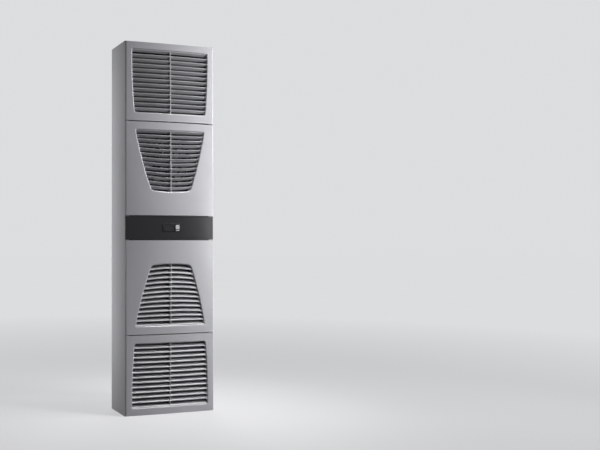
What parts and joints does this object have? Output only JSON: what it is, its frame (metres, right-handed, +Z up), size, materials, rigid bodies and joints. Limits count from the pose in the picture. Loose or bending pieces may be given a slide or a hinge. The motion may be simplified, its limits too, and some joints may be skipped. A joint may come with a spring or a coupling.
{
  "type": "enclosure cooling unit",
  "caption": "Tall wall-mounted cooling unit for an electrical enclosure: bowed louvred front covers, dark control band with display and keys, steel housing with rear air openings.",
  "frame": {"origin": "middle of the foot, on the floor plane", "axes": "+Z up, front towards -Y, rear mounting side towards +Y"},
  "size_m": [0.405, 0.2049, 1.58],
  "materials": {
    "light_paint": "fine textured light grey powder coat",
    "light_plastic": "satin light grey moulding",
    "dark_plastic": "dark grey satin moulding",
    "gloss_black": "gloss black",
    "window": "smoked clear window",
    "key_grey": "light grey key",
    "lamp": "green translucent",
    "zinc": "galvanised sheet",
    "fin": "thin aluminium",
    "copper": "drawn copper",
    "brass": "turned brass",
    "black_paint": "black enamel",
    "rubber": "black rubber",
    "foam": "closed-cell foam",
    "mat": "open-cell filter foam",
    "fan_plastic": "black glass-filled plastic",
    "tray_plastic": "grey plastic"
  },
  "bodies": {
    "cabinet": {"left_side": "light_paint", "right_side": "light_paint", "top_panel": "light_paint", "base_pan": "zinc", "back_plate": "zinc", "rear_gasket": "rubber", "mount_inserts": "zinc", "cross_rails": "black_paint", "rail_screws": "zinc", "cover_sockets": "fan_plastic", "control_band": "dark_plastic", "controller_bezel": "gloss_black", "display_window": "window", "status_lamp": "lamp", "controller_box": "dark_plastic", "condenser_fins": "fin", "condenser_tube": "copper", "condenser_end_plates": "zinc", "evaporator_fins": "fin", "evaporator_tube": "copper", "evaporator_end_plates": "zinc", "compressor_plate": "zinc", "compressor_feet": "rubber", "compressor_shell": "black_paint", "compressor_terminal_cover": "dark_plastic", "discharge_pipe": "copper", "liquid_pipe": "copper", "filter_drier": "copper", "expansion_valve": "brass", "injection_pipe": "copper", "suction_pipe": "copper", "partition": "zinc", "insulation": "foam", "duct_floor": "zinc", "fan_plate": "black_paint", "condenser_fan_guard": "black_paint", "condenser_fan_motor": "black_paint", "evaporator_fan_motor": "black_paint", "inlet_ring": "zinc", "intake_guard": "black_paint", "condensate_tray": "tray_plastic", "drain_tube": "rubber", "drain_spigot": "tray_plastic", "terminal_block": "fan_plastic"},
    "bottom_cover": {"bottom_cover": "light_plastic", "bottom_filter": "mat"},
    "lower_cover": {"lower_cover": "light_plastic", "lower_filter": "mat"},
    "upper_cover": {"upper_cover": "light_plastic"},
    "top_cover": {"top_cover": "light_plastic"},
    "condenser_fan": {"condenser_fan_impeller": "fan_plastic"},
    "evaporator_fan": {"evaporator_fan_impeller": "fan_plastic"},
    "large_key": {"large_key": "key_grey"},
    "bar_key": {"bar_key": "key_grey"}
  },
  "joints": [
    {"name": "bottom_cover_pull", "type": "slide", "parent": "cabinet", "child": "bottom_cover", "axis": [0, -1, 0], "range_m": [0, 0.15]},
    {"name": "lower_cover_pull", "type": "slide", "parent": "cabinet", "child": "lower_cover", "axis": [0, -1, 0], "range_m": [0, 0.15]},
    {"name": "upper_cover_pull", "type": "slide", "parent": "cabinet", "child": "upper_cover", "axis": [0, -1, 0], "range_m": [0, 0.15]},
    {"name": "top_cover_pull", "type": "slide", "parent": "cabinet", "child": "top_cover", "axis": [0, -1, 0], "range_m": [0, 0.15]},
    {"name": "condenser_fan_spin", "type": "hinge", "parent": "cabinet", "child": "condenser_fan", "pos_m": [0, -0.03, 1.07425], "axis": [0, 1, 0], "continuous": true},
    {"name": "evaporator_fan_spin", "type": "hinge", "parent": "cabinet", "child": "evaporator_fan", "pos_m": [0, 0.06, 1.4], "axis": [0, 1, 0], "continuous": true},
    {"name": "large_key_press", "type": "slide", "parent": "cabinet", "child": "large_key", "axis": [0, 1, 0], "range_m": [0, 0.0008], "stiffness_N_per_m": 1500, "springref_m": -0.0004},
    {"name": "bar_key_press", "type": "slide", "parent": "cabinet", "child": "bar_key", "axis": [0, 1, 0], "range_m": [0, 0.0008], "stiffness_N_per_m": 1500, "springref_m": -0.0004}
  ]
}
